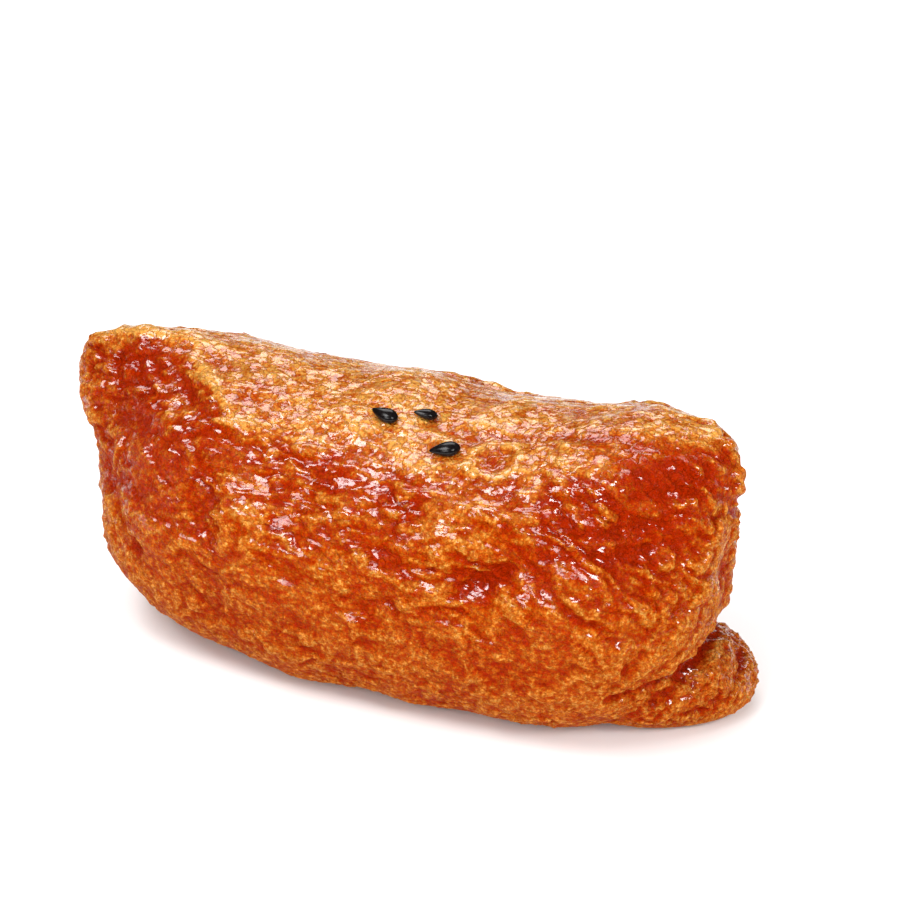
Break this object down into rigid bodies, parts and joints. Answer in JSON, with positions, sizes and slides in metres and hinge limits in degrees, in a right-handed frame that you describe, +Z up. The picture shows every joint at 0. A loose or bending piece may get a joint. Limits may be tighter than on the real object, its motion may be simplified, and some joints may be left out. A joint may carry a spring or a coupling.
{
  "type": "inari sushi",
  "caption": "Pouch of seasoned fried tofu stuffed with rice: a rounded loaf with pinched top corners, its mouth folded under, resting on a flat foot.",
  "frame": {"origin": "middle of the pouch in X and Y, on the plane of its flat foot", "axes": "+X along the pouch towards the end whose tuck sticks out, +Y towards the back face, +Z up"},
  "size_m": [0.0816, 0.0352, 0.033],
  "materials": {
    "tofu_skin": null,
    "sesame": null
  },
  "bodies": {
    "root": {"pouch": "tofu_skin"}
  },
  "joints": []
}
